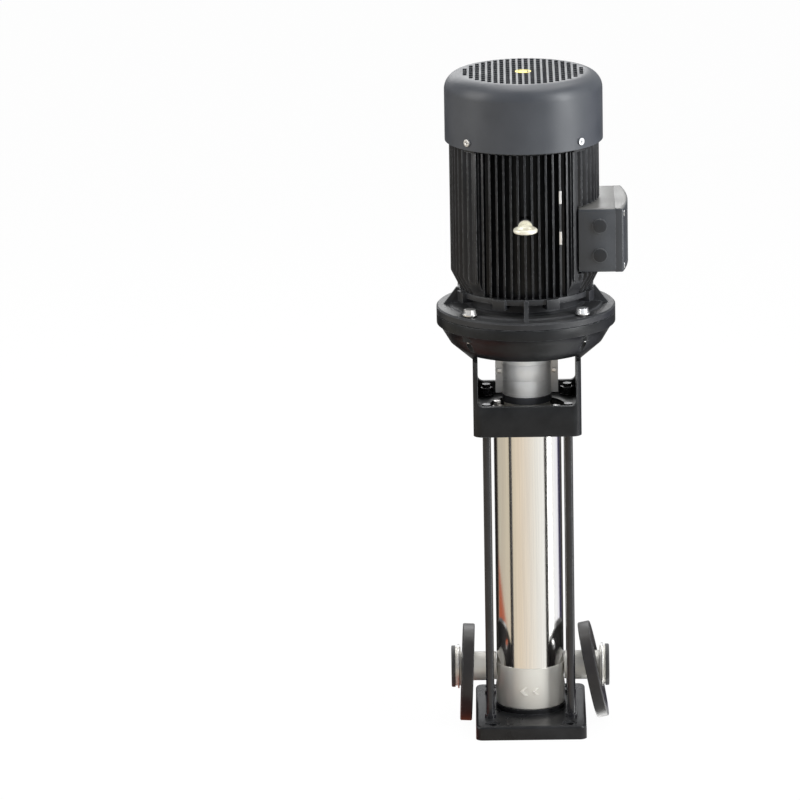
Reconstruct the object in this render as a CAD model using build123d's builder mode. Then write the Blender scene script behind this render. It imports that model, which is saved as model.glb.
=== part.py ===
"""Vertical multistage pump with a flange-mounted motor. Millimetres, +Z up, base centre at the origin."""
from build123d import *
import math
import os

os.makedirs("parts", exist_ok=True)

# ---- fits and clearances ------------------------------------------------------------------------
run_fit = 0.08        # radial gap of a shaft in its bush
slip_fit = 0.1        # radial gap of a fixed piece in its seat
free_gap = 0.3        # gap between a loose piece and what carries it

# ---- foot and base casting ----------------------------------------------------------------------
plate_width = 187.0
plate_depth = 251.0
plate_height = 24.0
plate_corner = 12.0
plate_edge = 5.0
foot_hole_x = 130.0
foot_hole_y = 215.0
foot_hole_d = 14.0
seat_ring_height = 8.0
casting_r = 58.5
casting_top = 104.0
casting_wall = 6.5
lip_wall = 1.4
lip_depth = 6.0
eye_cup_r = 36.0
eye_cup_wall = 4.0
port_height = 94.0
neck_r = 24.5
port_bore_r = 20.0
duct_r = 15.0
head_r = 33.0
head_start = 118.0
head_length = 13.0
groove_depth = 2.5
groove_width = 3.0
lock_ring_r = 37.5
lock_ring_width = 2.6
cap_wall = 2.0
cap_end_wall = 3.0
cap_skirt = 3.5
cap_dish = 1.2
cap_edge = 2.0

# ---- loose port flanges -------------------------------------------------------------------------
flange_d = 165.0
flange_thickness = 20.0
flange_bore_r = 35.5
flange_pcd = 125.0
flange_hole_d = 18.0
flange_x = 107.0
flange_tilts = {"left": 2.5, "right": 11.5}

# ---- column -------------------------------------------------------------------------------------
sleeve_r = 57.0
sleeve_wall = 2.0
sleeve_top = 528.0
stay_d = 14.0
stay_spacing = 137.0
stay_foot_collar = 6.0
ring_cord_r = 1.5
shaft_r = 11.0
stage_count = 7
stage_pitch = 45.0
chamber_r = 46.0
chamber_wall = 2.0
chamber_gap = 0.1
stack_bottom = 110.0
guide_height = 12.0
eye_r = 17.5
impeller_r = 38.0

# ---- pump head and shaft seal -------------------------------------------------------------------
head_bottom = 516.0
head_disc_top = 540.0
head_disc_r = 72.0
boss_r = 39.0
boss_top = 562.0
seal_cover_r = 41.5
seal_cover_height = 12.0
seal_bore_r = 24.0
plug_radius = 53.0
vent_angle = 198.0
fill_angle = -24.0

# ---- motor stool --------------------------------------------------------------------------------
stool_width = 181.0
stool_depth = 186.0
stool_corner = 16.0
stool_wall = 8.0
stool_bottom = 520.0
web_height = 12.0
web_hole_r = 64.0
sill_top = 572.0
window_top = 655.0
bowl_start = 640.0
bowl_r = 96.0
stool_flange_height = 20.0
motor_face = 716.0

# ---- coupling and guards ------------------------------------------------------------------------
coupling_r = 31.0
coupling_bottom = 592.0
coupling_length = 98.0
coupling_split = 1.2
coupling_screw_d = 8.0
guard_r = 40.5
guard_wall = 1.5
guard_wing = 11.5
guard_top = 700.0
guard_screw_d = 5.0

# ---- motor --------------------------------------------------------------------------------------
motor_flange_r = 150.0
motor_flange_height = 13.0
spigot_r = 115.0
spigot_height = 4.0
motor_bolt_pcd = 265.0
motor_bolt_d = 12.0
shield_r = 113.0
shield_neck_r = 96.0
rib_reach = 25.0
rib_height = 29.0
shield_top = 760.0
frame_top = 1008.0
frame_root_r = 100.0
frame_bore_r = 92.0
fin_tip_r = 125.0
fin_count = 15
fin_pitch = 11.7
fin_wall = 3.0
stator_bottom = 815.0
stator_top = 955.0
stator_bore_r = 53.0
winding_height = 28.0
rotor_gap = 0.6
motor_shaft_r = 20.0
shaft_end_r = 19.0
bearing_r = 40.0
bearing_width = 18.0
lower_bearing_z = 738.0
rear_shield_height = 10.0
cowl_r = 132.0
cowl_wall = 2.0
cowl_bottom = 1012.0
cowl_top = 1125.0
cowl_shoulder = 28.0
grille_r = 104.0
slot_columns = 20
slot_pitch = 10.2
slot_width = 6.6
slot_row_pitch = 15.5
slot_bar = 1.2
cowl_screw_height = 13.0
cowl_screw_d = 6.0
fan_r = 108.0
fan_bottom = 1044.0
fan_height = 34.0
fan_blades = 7

# ---- terminal box -------------------------------------------------------------------------------
box_back = 89.0
box_seam = 150.0
box_front = 172.0
box_depth = 176.0
box_bottom = 800.0
box_top = 909.0
box_wall = 4.0
lid_bulge = 9.0
pad_face = 108.0
pad_width = 60.0
pad_height = 60.0
entry_d = 17.0
entry_x = 124.0
entry_rise = 25.0
eye_height = 888.0
eye_ring_r = 20.0
eye_wire_r = 4.2

# ---- derived places -----------------------------------------------------------------------------
half_stay = stay_spacing / 2
web_bottom = head_disc_top
web_top = web_bottom + web_height
casting_bottom = plate_height + seat_ring_height
lip_bottom = casting_top - lip_depth
sleeve_inner_r = sleeve_r - sleeve_wall
flange_top = motor_face + motor_flange_height
motor_bolt_r = motor_bolt_pcd / 2
first_stage = stack_bottom + guide_height
stack_top = first_stage + stage_count * stage_pitch
seal_top = boss_top + seal_cover_height
coupling_top = coupling_bottom + coupling_length
upper_bearing_z = frame_top - 8.0
shaft_top = fan_bottom + fan_height - 6.0
box_mid = (box_bottom + box_top) / 2


def turned(points, mode=Mode.ADD):
    """Add or cut the solid that the (radius, height) outline sweeps round the shaft's axis."""
    with BuildSketch(Plane.XZ) as outline:
        with BuildLine():
            Polyline(*points, close=True)
        make_face()
    revolve(outline.sketch, axis=Axis.Z, mode=mode)


def disc(outer_r, inner_r, bottom, top, mode=Mode.ADD):
    """Add or cut a round plate or tube between two heights; inner_r may be 0."""
    with BuildSketch(Plane.XY.offset(bottom)) as outline:
        Circle(outer_r)
        if inner_r > 0:
            Circle(inner_r, mode=Mode.SUBTRACT)
    extrude(outline.sketch, amount=top - bottom, mode=mode)


def save(part, name):
    """Label one finished piece and write it."""
    part.label = name
    export_step(part, f"parts/{name}.step")


# ---- foot ---------------------------------------------------------------------------------------
with BuildPart() as base_plate:
    with BuildSketch():
        RectangleRounded(plate_width, plate_depth, plate_corner)
    extrude(amount=plate_height)
    fillet(base_plate.faces().sort_by(Axis.Z)[-1].edges(), plate_edge)
    disc(casting_r + 1.5, 0, plate_height, casting_bottom)
    disc(casting_r - casting_wall + slip_fit, 0, plate_height - 8, casting_bottom, Mode.SUBTRACT)
    with Locations((0, 0, plate_height)):
        with GridLocations(foot_hole_x, foot_hole_y, 2, 2):
            CounterBoreHole(foot_hole_d / 2, foot_hole_d / 2 + 6, 1.5)
    with BuildSketch(Plane.XY.offset(plate_height - 16)):
        with GridLocations(stay_spacing, stay_spacing, 2, 2):
            Circle(stay_d / 2 + slip_fit)
    extrude(amount=16, mode=Mode.SUBTRACT)
save(base_plate.part, "base_plate")

# ---- base casting with the two port necks ---------------------------------------------------------
with BuildPart() as base_casting:
    disc(casting_r, 0, casting_bottom, casting_top)
    fillet(base_casting.faces().sort_by(Axis.Z)[0].edges(), 3)
    disc(casting_r - casting_wall, 0, plate_height - 6, casting_bottom)
    spigot = sleeve_inner_r - 2 * ring_cord_r - 0.3
    disc(casting_r - lip_wall, spigot, lip_bottom, casting_top, Mode.SUBTRACT)
    disc(spigot, 0, casting_top, casting_top + 6)
    disc(spigot - 4, 0, casting_bottom + 6, casting_top + 6, Mode.SUBTRACT)
    disc(eye_cup_r, 0, casting_bottom + 6, stack_bottom)
    for side in (-1, 1):
        with BuildSketch(Plane.YZ.offset(side * (casting_r - 1))):
            with Locations((0, port_height)):
                Circle(neck_r)
        extrude(amount=side * (head_start - casting_r + 2))
        with BuildSketch(Plane.YZ.offset(side * head_start)):
            with Locations((0, port_height)):
                Circle(head_r)
        extrude(amount=side * head_length)
        with BuildSketch(Plane.YZ.offset(side * (head_start + 2.5))):
            with Locations((0, port_height)):
                Circle(head_r + 1)
                Circle(head_r - groove_depth, mode=Mode.SUBTRACT)
        extrude(amount=side * groove_width, mode=Mode.SUBTRACT)
    duct_height = lip_bottom - duct_r - 5
    with BuildSketch(Plane.YZ.offset(-casting_r + 1)):
        with Locations((0, duct_height)):
            Circle(duct_r + 3)
    extrude(amount=casting_r - eye_cup_r + 4)
    disc(sleeve_r + 2.5, spigot, lip_bottom, port_height + neck_r + 1, Mode.SUBTRACT)
    disc(casting_r, casting_r - lip_wall, lip_bottom - 0.5, casting_top)
    disc(eye_cup_r - eye_cup_wall, 0, casting_bottom + 12, stack_bottom, Mode.SUBTRACT)
    with BuildSketch(Plane.XZ.offset(-casting_r + 4.0)):
        with Locations((0, casting_bottom + 13)):
            Circle(5 + slip_fit)
    extrude(amount=-6, mode=Mode.SUBTRACT)
    for side, inner in ((-1, eye_cup_r - eye_cup_wall - 2), (1, spigot - 8)):
        with BuildSketch(Plane.YZ.offset(side * inner)):
            with Locations((0, duct_height)):
                Circle(duct_r)
        extrude(amount=side * (sleeve_r + 10 - inner), mode=Mode.SUBTRACT)
        with BuildSketch(Plane.YZ.offset(side * (sleeve_r + 7))):
            with Locations((0, port_height)):
                Circle(port_bore_r)
        extrude(amount=side * (head_start + head_length - sleeve_r), mode=Mode.SUBTRACT)
save(base_casting.part, "base_casting")

# ---- lock rings, caps and loose flanges on the ports ----------------------------------------------
with BuildPart() as lock_rings:
    for side in (-1, 1):
        with BuildSketch(Plane.YZ.offset(side * (head_start + 2.7))):
            with Locations((0, port_height)):
                Circle(lock_ring_r)
                Circle(head_r - groove_depth + slip_fit, mode=Mode.SUBTRACT)
            with Locations((0, port_height - head_r)):
                Rectangle(7, 14, mode=Mode.SUBTRACT)
        extrude(amount=side * lock_ring_width)
save(lock_rings.part, "lock_rings")

cap_start = head_start + head_length - cap_skirt
cap_end = head_start + head_length + cap_end_wall
for name, side in (("port_cap_left", -1), ("port_cap_right", 1)):
    with BuildPart() as port_cap:
        with BuildSketch(Plane.YZ.offset(side * cap_start)):
            with Locations((0, port_height)):
                Circle(head_r + free_gap + cap_wall)
        extrude(amount=side * (cap_end - cap_start))
        fillet(port_cap.faces().sort_by(Axis.X)[-1 if side > 0 else 0].edges(), cap_edge)
        with BuildSketch(Plane.YZ.offset(side * cap_start)):
            with Locations((0, port_height)):
                Circle(head_r + free_gap)
        extrude(amount=side * (head_start + head_length + free_gap - cap_start), mode=Mode.SUBTRACT)
        with BuildSketch(Plane.YZ.offset(side * (cap_end - cap_dish))):
            with Locations((0, port_height)):
                Circle(head_r - 6)
        extrude(amount=side * cap_dish, mode=Mode.SUBTRACT)
    save(port_cap.part, name)

for name, side in (("left", -1), ("right", 1)):
    tilt = math.radians(flange_tilts[name])
    edge_drop = flange_thickness / 2 * math.sin(tilt)
    drop = flange_bore_r * math.cos(tilt) - edge_drop - neck_r - free_gap
    hanging = Plane(
        origin=(side * flange_x, 0, port_height - drop),
        x_dir=(0, 1, 0),
        z_dir=(side * math.cos(tilt), 0, math.sin(tilt)),
    )
    with BuildPart() as port_flange:
        with BuildSketch(hanging):
            Circle(flange_d / 2)
            Circle(flange_bore_r, mode=Mode.SUBTRACT)
            with PolarLocations(flange_pcd / 2, 4, start_angle=45):
                Circle(flange_hole_d / 2, mode=Mode.SUBTRACT)
        extrude(amount=flange_thickness / 2, both=True)
        rims = port_flange.edges().filter_by(GeomType.CIRCLE).sort_by(SortBy.RADIUS)
        chamfer(rims[-2:], 1.5)
    save(port_flange.part, f"port_flange_{name}")

# The plug sits at the back of the casting, low on its wall.
with BuildPart() as drain_plug:
    for start, reach, sides in ((casting_r - 3.9, 4.0, 0), (casting_r + 0.1, 6.0, 6)):
        with BuildSketch(Plane.XZ.offset(-start)):
            with Locations((0, casting_bottom + 13)):
                if sides:
                    RegularPolygon(8, sides)
                else:
                    Circle(5)
        extrude(amount=-reach)
save(drain_plug.part, "drain_plug")

# ---- stay bolts, nuts and washers -----------------------------------------------------------------
nut_height = 12.0
washer_height = 2.5
with BuildPart() as stay_bolts:
    with BuildSketch(Plane.XY.offset(plate_height - 15)):
        with GridLocations(stay_spacing, stay_spacing, 2, 2):
            Circle(stay_d / 2)
    extrude(amount=web_top + washer_height + nut_height + 5 - plate_height + 15)
    with BuildSketch(Plane.XY.offset(plate_height)):
        with GridLocations(stay_spacing, stay_spacing, 2, 2):
            Circle(stay_d / 2 + 2.5)
    extrude(amount=stay_foot_collar)
save(stay_bolts.part, "stay_bolts")

with BuildPart() as stay_washers:
    with BuildSketch(Plane.XY.offset(web_top)):
        with GridLocations(stay_spacing, stay_spacing, 2, 2):
            Circle(stay_d - 0.5)
            Circle(stay_d / 2 + slip_fit, mode=Mode.SUBTRACT)
    extrude(amount=washer_height)
save(stay_washers.part, "stay_washers")

with BuildPart() as stay_nuts:
    with BuildSketch(Plane.XY.offset(web_top + washer_height)):
        with GridLocations(stay_spacing, stay_spacing, 2, 2):
            RegularPolygon(stay_d * 0.87, 6)
            Circle(stay_d / 2 + slip_fit, mode=Mode.SUBTRACT)
    extrude(amount=nut_height)
save(stay_nuts.part, "stay_nuts")

# ---- outer sleeve and its seal rings --------------------------------------------------------------
with BuildPart() as outer_sleeve:
    disc(sleeve_r, sleeve_inner_r, lip_bottom, sleeve_top)
save(outer_sleeve.part, "outer_sleeve")

head_ring_z = head_bottom + 5.0
with BuildPart() as sleeve_rings:
    with BuildSketch(Plane.XZ):
        with Locations((sleeve_inner_r - ring_cord_r - 0.1, casting_top)):
            Circle(ring_cord_r)
        with Locations((sleeve_r + ring_cord_r + 0.1, head_ring_z)):
            Circle(ring_cord_r)
    revolve(axis=Axis.Z)
save(sleeve_rings.part, "sleeve_rings")

# ---- hydraulic stack ------------------------------------------------------------------------------
with BuildPart() as inlet_guide:
    disc(eye_cup_r, 0, stack_bottom, stack_bottom + 4)
    disc(chamber_r, 0, stack_bottom + 4, first_stage)
    disc(eye_r, 0, stack_bottom, first_stage, Mode.SUBTRACT)
    for angle in (0, 60, 120):
        with BuildSketch(Plane.XY.offset(stack_bottom)):
            with Locations(Location((0, 0, 0), (0, 0, angle))):
                Rectangle(2 * eye_r + 4, 3)
        extrude(amount=guide_height - 4)
    disc(shaft_r + 3.5, 0, stack_bottom, first_stage - 4)
    disc(shaft_r + run_fit, 0, stack_bottom, first_stage, Mode.SUBTRACT)
save(inlet_guide.part, "inlet_guide")

with BuildPart() as chambers:
    for stage in range(stage_count):
        floor = first_stage + stage * stage_pitch
        disc(chamber_r, chamber_r - chamber_wall, floor, floor + stage_pitch - chamber_gap)
        disc(chamber_r - chamber_wall, eye_r, floor, floor + 3)
        disc(chamber_r - 7, shaft_r + 3, floor + 25, floor + 28)
        with BuildSketch(Plane.XY.offset(floor + 25)):
            with PolarLocations((chamber_r + shaft_r + 2) / 2, 8):
                Rectangle(chamber_r - shaft_r - 4.5, 2)
        extrude(amount=stage_pitch - chamber_gap - 25)
save(chambers.part, "chambers")

for stage in range(stage_count):
    base = first_stage + stage * stage_pitch
    with BuildPart() as impeller:
        disc(shaft_r + 2.5, 0, base + 3.5, base + 21)
        disc(impeller_r, 0, base + 18, base + 20.5)
        disc(impeller_r, eye_r - 2.5, base + 8, base + 10)
        disc(eye_r - free_gap, eye_r - 2.5, base + 0.5, base + 9)
        with BuildSketch(Plane.XY.offset(base + 9)):
            with PolarLocations((impeller_r + eye_r) / 2 - 1, 6):
                with Locations(Location((0, 0, 0), (0, 0, 38))):
                    Rectangle(impeller_r - eye_r + 3, 2)
            Circle(impeller_r - 0.5, mode=Mode.INTERSECT)
        extrude(amount=10)
        with BuildSketch(Plane.XY.offset(base + 3.5)):
            with PolarLocations((shaft_r + eye_r) / 2, 3):
                Rectangle(eye_r - shaft_r - 1, 2)
        extrude(amount=6)
        disc(shaft_r + 0.05, 0, base, base + 25, Mode.SUBTRACT)
    save(impeller.part, f"impeller_{stage + 1}")

with BuildPart() as top_guide:
    disc(chamber_r, chamber_r - 8, stack_top, stack_top + 6)
    with BuildSketch(Plane.XY.offset(stack_top)):
        with PolarLocations((chamber_r + shaft_r) / 2 - 1, 4):
            Rectangle(chamber_r - shaft_r - 6, 5)
    extrude(amount=6)
    disc(shaft_r + 4, 0, stack_top, stack_top + 14)
    with BuildSketch(Plane.XY.offset(stack_top + 6)):
        with PolarLocations(chamber_r - 4, 6):
            Rectangle(4, 8)
    extrude(amount=head_disc_top - 12 - stack_top - 6)
    disc(shaft_r + run_fit, 0, stack_top, stack_top + 14, Mode.SUBTRACT)
save(top_guide.part, "top_guide")

with BuildPart() as stack_straps:
    with BuildSketch(Plane.XY.offset(stack_bottom + 6)):
        with PolarLocations(chamber_r + 1, 3, start_angle=90):
            Rectangle(10, 12)
        Circle(chamber_r + slip_fit + 1.5, mode=Mode.INTERSECT)
        Circle(chamber_r + slip_fit, mode=Mode.SUBTRACT)
    extrude(amount=stack_top + 4 - stack_bottom - 6)
save(stack_straps.part, "stack_straps")

# ---- pump head, vent and fill plugs -----------------------------------------------------------------
with BuildPart() as pump_head:
    disc(head_disc_r, sleeve_r + 0.15, head_bottom, sleeve_top)
    disc(head_disc_r, 0, sleeve_top, head_disc_top)
    disc(sleeve_inner_r - 0.15, 0, sleeve_top - 8, sleeve_top)
    disc(boss_r, 0, head_disc_top, boss_top)
    disc(chamber_r + 3, 0, sleeve_top - 8, sleeve_top, Mode.SUBTRACT)
    groove = ring_cord_r + 0.15
    ring_r = sleeve_r + ring_cord_r + 0.1
    disc(ring_r + groove, sleeve_r, head_ring_z - groove, head_ring_z + groove, Mode.SUBTRACT)
    disc(seal_bore_r, 0, sleeve_top, boss_top, Mode.SUBTRACT)
    with BuildSketch(Plane.XY.offset(head_disc_top - 8)):
        for angle in (vent_angle, fill_angle):
            with PolarLocations(plug_radius, 1, start_angle=angle):
                Circle(5.5 + slip_fit)
    extrude(amount=8, mode=Mode.SUBTRACT)
    with BuildSketch(Plane.XY.offset(boss_top - 10)):
        with PolarLocations((boss_r + seal_bore_r) / 2, 4, start_angle=45):
            Circle(3 + slip_fit)
    extrude(amount=10, mode=Mode.SUBTRACT)
save(pump_head.part, "pump_head")


def head_plug(angle, bore_r):
    """Add a hexagon plug screwed into the pump head; bore_r above 0 leaves a hole for a spindle."""
    for bottom, top, radius, sides in ((head_disc_top - 7, head_disc_top, 5.5, 0),
                                       (head_disc_top, head_disc_top + 16, 8.0, 6)):
        with BuildSketch(Plane.XY.offset(bottom)) as outline:
            with PolarLocations(plug_radius, 1, start_angle=angle):
                if sides:
                    RegularPolygon(radius, sides)
                else:
                    Circle(radius)
        extrude(outline.sketch, amount=top - bottom)
    if bore_r > 0:
        with BuildSketch(Plane.XY.offset(head_disc_top - 7)) as bore:
            with PolarLocations(plug_radius, 1, start_angle=angle):
                Circle(bore_r)
        extrude(bore.sketch, amount=23, mode=Mode.SUBTRACT)


spindle_r = 3.0
with BuildPart() as vent_plug:
    head_plug(vent_angle, spindle_r + run_fit)
save(vent_plug.part, "vent_plug")

with BuildPart() as fill_plug:
    head_plug(fill_angle, 0)
save(fill_plug.part, "fill_plug")

with BuildPart() as vent_screw:
    for bottom, top, radius in ((head_disc_top - 6, head_disc_top + 16.4, spindle_r),
                                (head_disc_top + 16.4, head_disc_top + 24, 6.0)):
        with BuildSketch(Plane.XY.offset(bottom)):
            with PolarLocations(plug_radius, 1, start_angle=vent_angle):
                Circle(radius)
                if radius > spindle_r:
                    with PolarLocations(radius + 0.6, 8):
                        Circle(1.4, mode=Mode.SUBTRACT)
        extrude(amount=top - bottom)
save(vent_screw.part, "vent_screw")

# ---- shaft seal -------------------------------------------------------------------------------------
seal_face = boss_top - 8.0
with BuildPart() as seal_cover:
    disc(seal_cover_r, shaft_r + 4, boss_top, seal_top)
    fillet(seal_cover.edges().group_by(Axis.Z)[-1].sort_by(SortBy.RADIUS)[-1], 2.5)
    disc(seal_bore_r - slip_fit, shaft_r + 4, boss_top - 2, boss_top)
    with BuildSketch(Plane.XY.offset(boss_top)):
        with PolarLocations((boss_r + seal_bore_r) / 2, 4, start_angle=45):
            Circle(3 + slip_fit)
    extrude(amount=seal_cover_height, mode=Mode.SUBTRACT)
save(seal_cover.part, "seal_cover")

with BuildPart() as seal_screws:
    for bottom, top, radius in ((boss_top - 9, seal_top, 3.0), (seal_top, seal_top + 5, 5.0)):
        with BuildSketch(Plane.XY.offset(bottom)):
            with PolarLocations((boss_r + seal_bore_r) / 2, 4, start_angle=45):
                Circle(radius)
                if radius > 3:
                    RegularPolygon(2.5, 6, mode=Mode.SUBTRACT)
        extrude(amount=top - bottom)
save(seal_screws.part, "seal_screws")

with BuildPart() as seal_seat:
    disc(seal_bore_r - slip_fit, shaft_r + 2, seal_face, boss_top - 2)
save(seal_seat.part, "seal_seat")

with BuildPart() as seal_ring:
    disc(seal_bore_r - 5, shaft_r + 0.05, seal_face - 8, seal_face - run_fit)
    disc(seal_bore_r - 7, shaft_r + 0.05, sleeve_top + 2, seal_face - 8)
save(seal_ring.part, "seal_ring")

with BuildPart() as pump_shaft:
    disc(shaft_r, 0, casting_bottom + 40, coupling_bottom + coupling_length / 2 - 4)
    chamfer(pump_shaft.edges(), 1)
    with BuildSketch(Plane.XZ.offset(-shaft_r - 1)):
        with Locations((0, coupling_bottom + 20)):
            Circle(3)
    extrude(amount=2 * shaft_r + 2, mode=Mode.SUBTRACT)
save(pump_shaft.part, "pump_shaft")

# ---- coupling ---------------------------------------------------------------------------------------
screw_offset = 23.0
screw_heights = [coupling_bottom + coupling_length * share for share in (0.18, 0.82)]
shaft_end = coupling_bottom + coupling_length / 2 + 4
for name, side in (("coupling_half_front", -1), ("coupling_half_rear", 1)):
    with BuildPart() as coupling_half:
        disc(coupling_r, 0, coupling_bottom, coupling_top)
        chamfer(coupling_half.edges(), 1.5)
        disc(shaft_r + 0.05, 0, coupling_bottom, coupling_top, Mode.SUBTRACT)
        disc(shaft_end_r + 0.05, 0, coupling_bottom + coupling_length / 2, coupling_top, Mode.SUBTRACT)
        with BuildSketch(Plane.XZ.offset(-side * coupling_split / 2)):
            with Locations((0, coupling_bottom + coupling_length / 2)):
                Rectangle(2 * coupling_r + 2, coupling_length + 2)
        extrude(amount=side * (coupling_r + 5), mode=Mode.SUBTRACT)
        with BuildSketch(Plane.XZ.offset(-side * (coupling_r + 1))):
            for height in screw_heights:
                with Locations((-screw_offset, height), (screw_offset, height)):
                    Circle(coupling_screw_d / 2 + slip_fit)
        extrude(amount=side * (coupling_r + 1), mode=Mode.SUBTRACT)
        with BuildSketch(Plane.XZ.offset(-side * (coupling_r + 1))):
            for height in screw_heights:
                with Locations((-screw_offset, height), (screw_offset, height)):
                    Circle(coupling_screw_d * 0.85)
        extrude(amount=side * (coupling_r + 1 - 12), mode=Mode.SUBTRACT)
        with BuildSketch(Plane.XZ.offset(-side * (shaft_r + 6))):
            with Locations((0, coupling_bottom + 20)):
                Circle(3.05)
        extrude(amount=side * 10, mode=Mode.SUBTRACT)
    save(coupling_half.part, name)

with BuildPart() as coupling_screws:
    for start, reach, radius in ((-11.9, 24.0, coupling_screw_d / 2), (12.1, 7.0, coupling_screw_d * 0.8)):
        with BuildSketch(Plane.XZ.offset(start)):
            for height in screw_heights:
                with Locations((-screw_offset, height), (screw_offset, height)):
                    Circle(radius)
                    if radius > coupling_screw_d / 2:
                        RegularPolygon(coupling_screw_d * 0.4, 6, mode=Mode.SUBTRACT)
        extrude(amount=reach)
save(coupling_screws.part, "coupling_screws")

with BuildPart() as coupling_pin:
    with BuildSketch(Plane.XZ.offset(-shaft_r - 5)):
        with Locations((0, coupling_bottom + 20)):
            Circle(2.95)
    extrude(amount=2 * shaft_r + 10)
save(coupling_pin.part, "coupling_pin")

# ---- coupling guards --------------------------------------------------------------------------------
wing_x = guard_r + guard_wing / 2
guard_screw_heights = (seal_top + 38.0, guard_top - 22.0)
for name, side in (("guard_front", -1), ("guard_rear", 1)):
    with BuildPart() as guard:
        disc(guard_r, guard_r - guard_wall, seal_top, guard_top)
        for groove_z in (seal_top + 27, seal_top + 55, seal_top + 83):
            turned([(guard_r + 1, groove_z - 3), (guard_r + 1, groove_z + 3), (guard_r - 0.7, groove_z)],
                   Mode.SUBTRACT)
        disc(guard_r + 0.8, guard_r - guard_wall, seal_top, seal_top + 5)
        with BuildSketch(Plane.XZ.offset(-side * 0.1)):
            with Locations((0, (seal_top + guard_top) / 2)):
                Rectangle(2 * guard_r + 6, guard_top - seal_top + 2)
        extrude(amount=side * (guard_r + 5), mode=Mode.SUBTRACT)
        with BuildSketch(Plane.XZ.offset(-side * 0.1)):
            for x in (-wing_x, wing_x):
                with Locations((x, (seal_top + guard_top) / 2)):
                    Rectangle(guard_wing + 1.5, guard_top - seal_top)
                for height in guard_screw_heights:
                    with Locations((x, height)):
                        Circle(guard_screw_d / 2 + slip_fit, mode=Mode.SUBTRACT)
        extrude(amount=-side * guard_wall)
    save(guard.part, name)

with BuildPart() as guard_screws:
    for start, reach, radius in ((-guard_wall - 3, 2 * guard_wall + 3.1, guard_screw_d / 2),
                                 (guard_wall + 0.1, 2.6, guard_screw_d * 0.85),
                                 (-guard_wall - 0.1, -3.0, guard_screw_d * 0.8)):
        with BuildSketch(Plane.XZ.offset(start)):
            for height in guard_screw_heights:
                with Locations((-wing_x, height), (wing_x, height)):
                    Circle(radius)
        extrude(amount=reach)
save(guard_screws.part, "guard_screws")

# ---- motor stool ------------------------------------------------------------------------------------
stool_flange_bottom = motor_face - stool_flange_height
window_width = stool_width - 2 * stool_wall
with BuildPart() as motor_stool:
    with BuildSketch(Plane.XY.offset(stool_bottom)):
        RectangleRounded(stool_width, stool_depth, stool_corner)
    extrude(amount=bowl_start + 8 - stool_bottom)
    turned([(0, bowl_start), (bowl_r, bowl_start),
            (bowl_r + 0.66 * (motor_flange_r - 5 - bowl_r), bowl_start + 0.5 * (stool_flange_bottom - bowl_start)),
            (motor_flange_r - 5, stool_flange_bottom),
            (motor_flange_r, stool_flange_bottom + 3), (motor_flange_r, motor_face), (0, motor_face)])
    with BuildSketch(Plane.XY.offset(stool_flange_bottom - 8)):
        with PolarLocations(motor_bolt_r, 4, start_angle=45):
            Circle(13)
    extrude(amount=10)
    with BuildSketch(Plane.XY.offset(stool_bottom)):
        RectangleRounded(window_width, stool_depth - 2 * stool_wall, stool_corner - stool_wall)
    extrude(amount=web_bottom - stool_bottom, mode=Mode.SUBTRACT)
    with BuildSketch(Plane.XY.offset(web_top)):
        RectangleRounded(window_width, stool_depth - 2 * stool_wall, stool_corner - stool_wall)
    extrude(amount=window_top - web_top, mode=Mode.SUBTRACT)
    disc(web_hole_r, 0, web_bottom, web_top, Mode.SUBTRACT)
    turned([(0, window_top - 5), (stool_width / 2 - stool_wall, window_top - 5),
            (spigot_r - 6, stool_flange_bottom), (spigot_r - 6, motor_face), (0, motor_face)],
           Mode.SUBTRACT)
    disc(spigot_r + slip_fit, 0, motor_face - spigot_height - 1, motor_face, Mode.SUBTRACT)
    with BuildSketch(Plane.XZ.offset(-stool_depth)):
        with Locations((0, (sill_top + window_top) / 2)):
            RectangleRounded(window_width, window_top - sill_top, 9)
    extrude(amount=2 * stool_depth, mode=Mode.SUBTRACT)
    with BuildSketch(Plane.XY.offset(web_bottom)):
        with GridLocations(stay_spacing, stay_spacing, 2, 2):
            Circle(stay_d / 2 + slip_fit)
    extrude(amount=web_height, mode=Mode.SUBTRACT)
    with BuildSketch(Plane.XY.offset(stool_flange_bottom - 30)):
        with PolarLocations(motor_bolt_r, 4, start_angle=45):
            Circle(motor_bolt_d / 2 + slip_fit)
    extrude(amount=stool_flange_height + 30, mode=Mode.SUBTRACT)
save(motor_stool.part, "motor_stool")

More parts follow.
